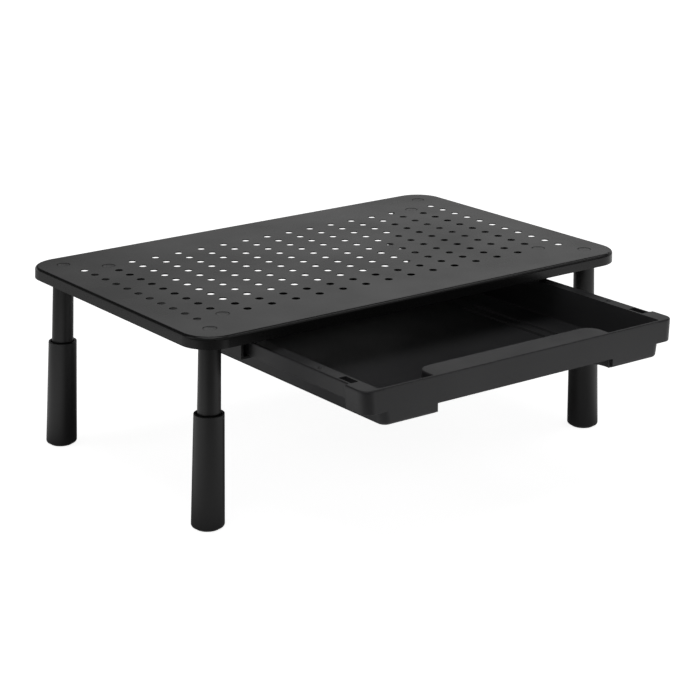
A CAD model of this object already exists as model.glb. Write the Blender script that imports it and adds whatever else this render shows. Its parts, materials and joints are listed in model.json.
import bpy
import json
import math
from mathutils import Matrix, Vector


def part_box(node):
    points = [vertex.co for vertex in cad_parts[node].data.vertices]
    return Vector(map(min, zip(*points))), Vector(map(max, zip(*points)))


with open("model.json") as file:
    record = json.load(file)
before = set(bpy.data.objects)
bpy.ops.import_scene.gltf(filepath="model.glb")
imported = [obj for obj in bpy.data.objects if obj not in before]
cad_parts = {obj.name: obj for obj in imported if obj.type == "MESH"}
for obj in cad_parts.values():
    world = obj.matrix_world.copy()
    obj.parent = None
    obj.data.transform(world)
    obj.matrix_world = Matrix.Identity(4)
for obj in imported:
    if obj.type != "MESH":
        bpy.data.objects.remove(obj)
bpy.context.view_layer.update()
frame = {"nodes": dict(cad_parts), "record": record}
N = frame["nodes"]
sc = bpy.context.scene
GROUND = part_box("pad_fl")[0].z


# ------------------------------------------------------------------ materials
class Tree:
    """Small helper that lays out one node material."""

    def __init__(self, name):
        self.mat = bpy.data.materials.new(name)
        self.mat.use_nodes = True
        self.nt = self.mat.node_tree
        self.nt.nodes.clear()
        self.out = self.nt.nodes.new("ShaderNodeOutputMaterial")

    def add(self, kind, **values):
        n = self.nt.nodes.new(kind)
        for key, val in values.items():
            if key.startswith("p_"):
                setattr(n, key[2:], val)
            else:
                n.inputs[key.replace("_", " ")].default_value = val
        return n

    def link(self, a, b):
        self.nt.links.new(a, b)

    def noise(self, vec, scale, detail=2.0, rough=0.5, dist=0.0):
        n = self.add("ShaderNodeTexNoise", Scale=scale, Detail=detail, Roughness=rough, Distortion=dist)
        self.link(vec, n.inputs["Vector"])
        return n

    def ramp(self, fac, stops):
        n = self.add("ShaderNodeValToRGB")
        cr = n.color_ramp
        while len(cr.elements) < len(stops):
            cr.elements.new(0.5)
        for e, (p, c) in zip(cr.elements, stops):
            e.position = p
            e.color = (c, c, c, 1) if isinstance(c, float) else (*c, 1)
        self.link(fac, n.inputs["Fac"])
        return n

    def maprange(self, val, a, b, c, d):
        n = self.add("ShaderNodeMapRange")
        n.inputs["From Min"].default_value = a
        n.inputs["From Max"].default_value = b
        n.inputs["To Min"].default_value = c
        n.inputs["To Max"].default_value = d
        self.link(val, n.inputs["Value"])
        return n

    def bump(self, height, strength, distance, prev=None):
        n = self.add("ShaderNodeBump", Strength=strength, Distance=distance)
        self.link(height, n.inputs["Height"])
        if prev is not None:
            self.link(prev.outputs["Normal"], n.inputs["Normal"])
        return n

    def mix(self, fac, a, b, blend="MIX"):
        n = self.add("ShaderNodeMix", p_data_type="RGBA", p_blend_type=blend)
        for sock, val in ((n.inputs[0], fac), (n.inputs[6], a), (n.inputs[7], b)):
            if hasattr(val, "is_output"):
                self.link(val, sock)
            else:
                sock.default_value = val if not isinstance(val, tuple) else (*val, 1)
        return n.outputs[2]

    def coords(self):
        return self.add("ShaderNodeTexCoord").outputs["Object"]


def coated_steel(name, tint, rough=0.42, spec=0.5):
    """Satin powder coat: faint orange peel, finer tooth and a little cloudiness."""
    t = Tree(name)
    co = t.coords()
    cloud = t.noise(co, 14.0, 3.0, 0.55)
    fine = t.noise(co, 2600.0, 2.0, 0.6)
    peel = t.noise(co, 620.0, 2.0, 0.45)
    shade = t.mix(t.maprange(cloud.outputs["Fac"], 0.3, 0.7, 0.0, 1.0).outputs[0],
                  tuple(c * 0.93 for c in tint), tuple(c * 1.07 for c in tint))
    speck = t.maprange(fine.outputs["Fac"], 0.35, 0.75, 0.0, 0.22).outputs[0]
    shade = t.mix(speck, shade, tuple(min(1.0, c * 1.9) for c in tint))
    b = t.add("ShaderNodeBsdfPrincipled")
    b.inputs["Specular IOR Level"].default_value = spec
    t.link(shade, b.inputs["Base Color"])
    r = t.maprange(cloud.outputs["Fac"], 0.3, 0.7, rough - 0.03, rough + 0.03)
    t.link(r.outputs[0], b.inputs["Roughness"])
    bp = t.bump(peel.outputs["Fac"], 0.16, 0.00005)
    bp = t.bump(fine.outputs["Fac"], 0.14, 0.00003, bp)
    t.link(bp.outputs["Normal"], b.inputs["Normal"])
    t.link(b.outputs[0], t.out.inputs[0])
    return t.mat


def moulded(name, tint, rough=0.5, grain=1500.0, grain_h=0.00004, spec=0.5, flow=0.0):
    """Injection-moulded plastic: spark-eroded grain with slight flow shading."""
    t = Tree(name)
    co = t.coords()
    big = t.noise(co, 22.0, 3.0, 0.5, 0.4)
    vor = t.add("ShaderNodeTexVoronoi", Scale=grain)
    vor.feature = "SMOOTH_F1"
    t.link(co, vor.inputs["Vector"])
    fine = t.noise(co, grain * 1.9, 2.0, 0.6)
    shade = t.mix(t.maprange(big.outputs["Fac"], 0.3, 0.7, 0.0, 1.0).outputs[0],
                  tuple(c * 0.92 for c in tint), tuple(c * 1.08 for c in tint))
    pits = t.maprange(vor.outputs["Distance"], 0.0, 0.6, 0.35, 0.0).outputs[0]
    shade = t.mix(pits, shade, tuple(c * 0.75 for c in tint))
    b = t.add("ShaderNodeBsdfPrincipled")
    b.inputs["Specular IOR Level"].default_value = spec
    t.link(shade, b.inputs["Base Color"])
    r = t.maprange(big.outputs["Fac"], 0.3, 0.7, rough - 0.04, rough + 0.04)
    t.link(r.outputs[0], b.inputs["Roughness"])
    bp = t.bump(vor.outputs["Distance"], 0.35, grain_h)
    bp = t.bump(fine.outputs["Fac"], 0.25, grain_h * 0.6, bp)
    t.link(bp.outputs["Normal"], b.inputs["Normal"])
    t.link(b.outputs[0], t.out.inputs[0])
    return t.mat


def rubber(name):
    t = Tree(name)
    co = t.coords()
    fine = t.noise(co, 1800.0, 3.0, 0.6)
    big = t.noise(co, 60.0, 2.0, 0.5)
    shade = t.mix(big.outputs["Fac"], (0.009, 0.009, 0.009), (0.020, 0.020, 0.021))
    b = t.add("ShaderNodeBsdfPrincipled")
    b.inputs["Specular IOR Level"].default_value = 0.3
    t.link(shade, b.inputs["Base Color"])
    r = t.maprange(fine.outputs["Fac"], 0.3, 0.7, 0.70, 0.88)
    t.link(r.outputs[0], b.inputs["Roughness"])
    bp = t.bump(fine.outputs["Fac"], 0.5, 0.00006)
    t.link(bp.outputs["Normal"], b.inputs["Normal"])
    t.link(b.outputs[0], t.out.inputs[0])
    return t.mat


def metal(name, light, dark, rough, turned_marks=True):
    """Bare metal with fine turning rings and a little tarnish."""
    t = Tree(name)
    co = t.coords()
    cloud = t.noise(co, 300.0, 3.0, 0.6)
    wave = t.add("ShaderNodeTexWave", Scale=2200.0, Distortion=1.5)
    wave.wave_type = "BANDS"
    wave.bands_direction = "Z"
    t.link(co, wave.inputs["Vector"])
    shade = t.mix(t.maprange(cloud.outputs["Fac"], 0.35, 0.7, 0.0, 1.0).outputs[0], light, dark)
    b = t.add("ShaderNodeBsdfPrincipled", Metallic=1.0)
    t.link(shade, b.inputs["Base Color"])
    r = t.maprange(cloud.outputs["Fac"], 0.3, 0.7, rough - 0.06, rough + 0.10)
    t.link(r.outputs[0], b.inputs["Roughness"])
    bp = t.bump(wave.outputs["Fac"], 0.25, 0.00003)
    t.link(bp.outputs["Normal"], b.inputs["Normal"])
    t.link(b.outputs[0], t.out.inputs[0])
    return t.mat


MAT = {
    "platform_steel": coated_steel("platform_powder_coat", (0.015, 0.015, 0.015), 0.26),
    "coated_stud": coated_steel("stud_powder_coat", (0.015, 0.015, 0.015), 0.26),
    "insert_brass": metal("insert_turned_brass", (0.72, 0.55, 0.26), (0.52, 0.37, 0.16), 0.30),
    "zinc_steel": metal("bright_zinc", (0.62, 0.63, 0.65), (0.45, 0.46, 0.48), 0.32),
    "tube_plastic": moulded("tube_moulding", (0.018, 0.018, 0.018), 0.36, 2200.0, 0.000020),
    "sleeve_plastic": moulded("sleeve_moulding", (0.022, 0.022, 0.0225), 0.38, 2000.0, 0.000024),
    "rail_plastic": moulded("rail_moulding", (0.008, 0.008, 0.0085), 0.42, 1800.0, 0.000024),
    "drawer_plastic": moulded("drawer_moulding", (0.044, 0.044, 0.0465), 0.39, 1500.0, 0.000030),
    "pad_rubber": rubber("pad_rubber"),
}

slot_of = {s["node"]: s["material_slot"] for s in frame["record"]["subparts"]}
for name, o in N.items():
    o.data.materials.clear()
    o.data.materials.append(MAT[slot_of[name]])
    for p in o.data.polygons:
        p.material_index = 0


# ------------------------------------------------------------------ directions
# Azimuths of the studio are counted from the camera's side of the object,
# positive to the camera's right.
STUDIO = math.radians(33.85)
AHEAD = Vector((math.sin(STUDIO), math.cos(STUDIO), 0.0))
RIGHT = Vector((math.cos(STUDIO), -math.sin(STUDIO), 0.0))
UP = Vector((0, 0, 1))


def heading(azimuth):
    a = math.radians(azimuth)
    return RIGHT * math.sin(a) - AHEAD * math.cos(a)


class Field(Tree):
    """Node arithmetic for light that varies with direction or place."""

    def math(self, op, a, b=None, clamp=False):
        n = self.add("ShaderNodeMath", p_operation=op, p_use_clamp=clamp)
        for sock, val in zip(n.inputs, (a, b)):
            if val is None:
                continue
            if hasattr(val, "is_output"):
                self.link(val, sock)
            else:
                sock.default_value = val
        return n.outputs[0]

    def dot(self, vec, v):
        n = self.add("ShaderNodeVectorMath", p_operation="DOT_PRODUCT")
        self.link(vec, n.inputs[0])
        n.inputs[1].default_value = tuple(v)
        return n.outputs["Value"]

    def step(self, val, lo, hi):
        n = self.add("ShaderNodeMapRange", p_interpolation_type="SMOOTHSTEP")
        for k, x in (("From Min", lo), ("From Max", hi), ("To Min", 0.0), ("To Max", 1.0)):
            n.inputs[k].default_value = x
        self.link(val, n.inputs["Value"])
        return n.outputs[0]

    def band(self, val, lo, hi, soft):
        up = self.step(val, lo - soft, lo + soft)
        down = self.step(val, hi - soft, hi + soft)
        return self.math("MULTIPLY", up, self.math("SUBTRACT", 1.0, down))

    def total(self, terms):
        out = terms[0]
        for t in terms[1:]:
            out = self.math("ADD", out, t)
        return out


# ------------------------------------------------------------------ floor
# Pale seamless sheet. It reads near white to the lens. What it sends up to
# the object falls off with place, as a lit table top in a dark room does.
FLOOR_BASE = 0.42          # sheet around the object
FLOOR_SHADE = 0.10         # share that is left right under the object
FLOOR_FRONT = 0.46         # metres in front of the object where the light ends
# (metres to the camera's side, softness, change from there outwards)
FLOOR_LEFT = [(0.16, 0.08, 0.30), (0.42, 0.06, -0.46), (0.60, 0.08, 0.12)]
FLOOR_RIGHT = [(0.22, 0.17, 0.42), (0.59, 0.08, -0.42)]


def floor_material():
    t = Field("pale_floor")
    co = t.coords()
    grain = t.noise(co, 350.0, 3.0, 0.6)
    cloud = t.noise(co, 1.6, 2.0, 0.5)
    a = t.mix(cloud.outputs["Fac"], (0.93, 0.93, 0.93), (0.97, 0.97, 0.97))
    d = t.add("ShaderNodeBsdfDiffuse", Roughness=0.6)
    t.link(t.mix(t.maprange(grain.outputs["Fac"], 0.3, 0.7, 0.0, 0.15).outputs[0], a, (0.90, 0.90, 0.90)), d.inputs["Color"])
    e = t.add("ShaderNodeEmission", Strength=0.90)
    seen = t.add("ShaderNodeAddShader")
    t.link(d.outputs[0], seen.inputs[0])
    t.link(e.outputs[0], seen.inputs[1])

    front = t.dot(co, -AHEAD)
    side = t.dot(co, RIGHT)
    lit = t.math("SUBTRACT", 1.0, t.step(front, FLOOR_FRONT - 0.08, FLOOR_FRONT + 0.10))
    away = t.math("MULTIPLY", side, -1.0)
    terms = [t.math("MULTIPLY", t.step(away, d - w, d + w), p) for d, w, p in FLOOR_LEFT]
    terms += [t.math("MULTIPLY", t.step(side, d - w, d + w), p) for d, w, p in FLOOR_RIGHT]
    power = t.math("MULTIPLY", lit, t.math("ADD", t.total(terms), FLOOR_BASE))
    x, y = t.dot(co, Vector((1, 0, 0))), t.dot(co, Vector((0, 1, 0)))
    for x0, x1, y0, y1, share in ((-0.20, 0.19, -0.12, 0.14, 1.0 - FLOOR_SHADE), (0.05, 0.21, -0.30, -0.12, 0.65)):
        patch = t.math("MULTIPLY", t.band(x, x0, x1, 0.05), t.band(y, y0, y1, 0.05))
        power = t.math("MULTIPLY", power, t.math("SUBTRACT", 1.0, t.math("MULTIPLY", patch, share)))
    glow = t.add("ShaderNodeEmission")
    t.link(power, glow.inputs["Strength"])

    lp = t.add("ShaderNodeLightPath")
    m = t.add("ShaderNodeMixShader")
    t.link(lp.outputs["Is Camera Ray"], m.inputs[0])
    t.link(glow.outputs[0], m.inputs[1])
    t.link(seen.outputs[0], m.inputs[2])
    # seen from underneath the sheet is clear, so the stand's underside shows
    below = t.add("ShaderNodeNewGeometry")
    clear = t.add("ShaderNodeBsdfTransparent")
    sides = t.add("ShaderNodeMixShader")
    t.link(below.outputs["Backfacing"], sides.inputs[0])
    t.link(m.outputs[0], sides.inputs[1])
    t.link(clear.outputs[0], sides.inputs[2])
    t.link(sides.outputs[0], t.out.inputs[0])
    t.mat.cycles.emission_sampling = "NONE"
    return t.mat


mesh = bpy.data.meshes.new("floor")
S = 30.0
mesh.from_pydata([(-S, -S, GROUND), (S, -S, GROUND), (S, S, GROUND), (-S, S, GROUND)], [], [(0, 1, 2, 3)])
floor = bpy.data.objects.new("floor", mesh)
sc.collection.objects.link(floor)
floor.data.materials.append(floor_material())


# ------------------------------------------------------------------ light
# Soft panels around the object, as patches of a dark studio:
# (azimuth, half width, softness, lowest, highest, softness in degrees, radiance)
PANELS = [
    (0.0, 180.0, 1.0, 68.0, 95.0, 5.0, 1.60),         # overhead sheet
    (150.0, 36.0, 8.0, 9.0, 21.0, 6.0, 0.64),        # low back card
    (150.0, 28.0, 10.0, 14.0, 19.0, 3.0, 0.22),       # its brighter upper part
    (170.0, 26.0, 10.0, 21.0, 26.0, 3.0, 0.28),       # its edge
    (-115.0, 40.0, 12.0, -5.0, 15.0, 5.0, 0.50),      # low left card
    (-148.0, 16.0, 8.0, -5.0, 15.0, 5.0, 0.40),       # its rear part
    (5.0, 95.0, 15.0, 17.0, 38.0, 3.0, 0.38),         # front card
    (114.0, 22.0, 6.0, 44.0, 57.0, 4.0, 1.20),        # right panel
    (-82.0, 16.0, 8.0, 24.0, 50.0, 6.0, 0.50),        # left panel
]
ROOM = 0.018
BACKDROP = 0.97             # what the lens sees beyond the floor


def studio_world():
    world = bpy.data.worlds.new("studio")
    sc.world = world
    world.use_nodes = True
    t = Field.__new__(Field)
    t.mat = world
    t.nt = world.node_tree
    t.nt.nodes.clear()
    t.out = t.nt.nodes.new("ShaderNodeOutputWorld")
    d = t.add("ShaderNodeTexCoord").outputs["Generated"]
    nrm = t.add("ShaderNodeVectorMath", p_operation="NORMALIZE")
    t.link(d, nrm.inputs[0])
    d = nrm.outputs[0]
    height = t.dot(d, UP)
    flat = t.add("ShaderNodeVectorMath", p_operation="MULTIPLY")
    t.link(d, flat.inputs[0])
    flat.inputs[1].default_value = (1.0, 1.0, 0.0)
    fn = t.add("ShaderNodeVectorMath", p_operation="NORMALIZE")
    t.link(flat.outputs[0], fn.inputs[0])
    rise = t.math("DEGREES", t.math("ARCSINE", height))
    terms = []
    for az, half, soft_a, lo, hi, soft_e, power in PANELS:
        e = t.band(rise, lo, hi, soft_e)
        if half < 179.0:
            turn = t.math("DEGREES", t.math("ARCCOSINE", t.math("MINIMUM", t.math("MAXIMUM", t.dot(fn.outputs[0], heading(az)), -1.0), 1.0)))
            e = t.math("MULTIPLY", e, t.math("SUBTRACT", 1.0, t.step(turn, half - soft_a, half + soft_a)))
        terms.append(t.math("MULTIPLY", e, power))
    bg = t.add("ShaderNodeBackground")
    t.link(t.math("ADD", t.total(terms), ROOM), bg.inputs["Strength"])
    plain = t.add("ShaderNodeBackground", Strength=BACKDROP)
    lp = t.add("ShaderNodeLightPath")
    m = t.add("ShaderNodeMixShader")
    t.link(lp.outputs["Is Camera Ray"], m.inputs[0])
    t.link(bg.outputs[0], m.inputs[1])
    t.link(plain.outputs[0], m.inputs[2])
    t.link(m.outputs[0], t.out.inputs[0])
    world.cycles.sampling_method = "MANUAL"
    world.cycles.sample_map_resolution = 1024


studio_world()


# ------------------------------------------------------------------ camera
# The camera stands in front and to the left, level, with its lens shifted so
# that uprights stay upright. A slight lean and shear, in the parent matrix,
# belongs to the same standpoint. From anywhere else the lens is plain.
YAW, LEAN, SHEAR = math.radians(33.8509), math.radians(-0.8603), -0.02519
EYE = Vector((-0.91620, -1.24199, 0.40465))
FOCAL_PX = 2103.88
CENTRE_X, CENTRE_Y = 236.929, -294.033        # lens axis in a 700 x 700 frame
cam_ahead = Vector((math.sin(YAW), math.cos(YAW), 0.0))
cam_side = Vector((math.cos(YAW), -math.sin(YAW), 0.0))
col_x = cam_side * math.cos(LEAN) + UP * math.sin(LEAN)
col_y = UP * math.cos(LEAN) - cam_side * math.sin(LEAN) + col_x * SHEAR
cd = bpy.data.cameras.new("camera")
cam = bpy.data.objects.new("camera", cd)
sc.collection.objects.link(cam)
stand = bpy.data.objects.new("camera_stand", None)
sc.collection.objects.link(stand)
cam.parent = stand
cam.matrix_parent_inverse = Matrix([[col_x[i], col_y[i], -cam_ahead[i], EYE[i]] for i in range(3)] + [[0, 0, 0, 1]])
cd.sensor_width = 36.0
cd.lens = FOCAL_PX / 700.0 * 36.0
cd.clip_start, cd.clip_end = 0.05, 60.0
sc.camera = cam
for prop, value in (("shift_x", (350.0 - CENTRE_X) / 700.0), ("shift_y", (CENTRE_Y - 350.0) / 700.0)):
    drv = cd.driver_add(prop).driver
    drv.type = "SCRIPTED"
    for axis in "XYZ":
        v = drv.variables.new()
        v.name = axis.lower()
        v.type = "TRANSFORMS"
        v.targets[0].id = cam
        v.targets[0].transform_type = "LOC_" + axis
        v.targets[0].transform_space = "WORLD_SPACE"
    drv.expression = "%.5f if abs(x - %.4f) + abs(y - %.4f) + abs(z - %.4f) < 0.002 else 0.0" % (
        value, EYE.x, EYE.y, EYE.z)

sc.view_settings.view_transform = "Standard"
sc.view_settings.look = "None"
sc.cycles.use_denoising = True
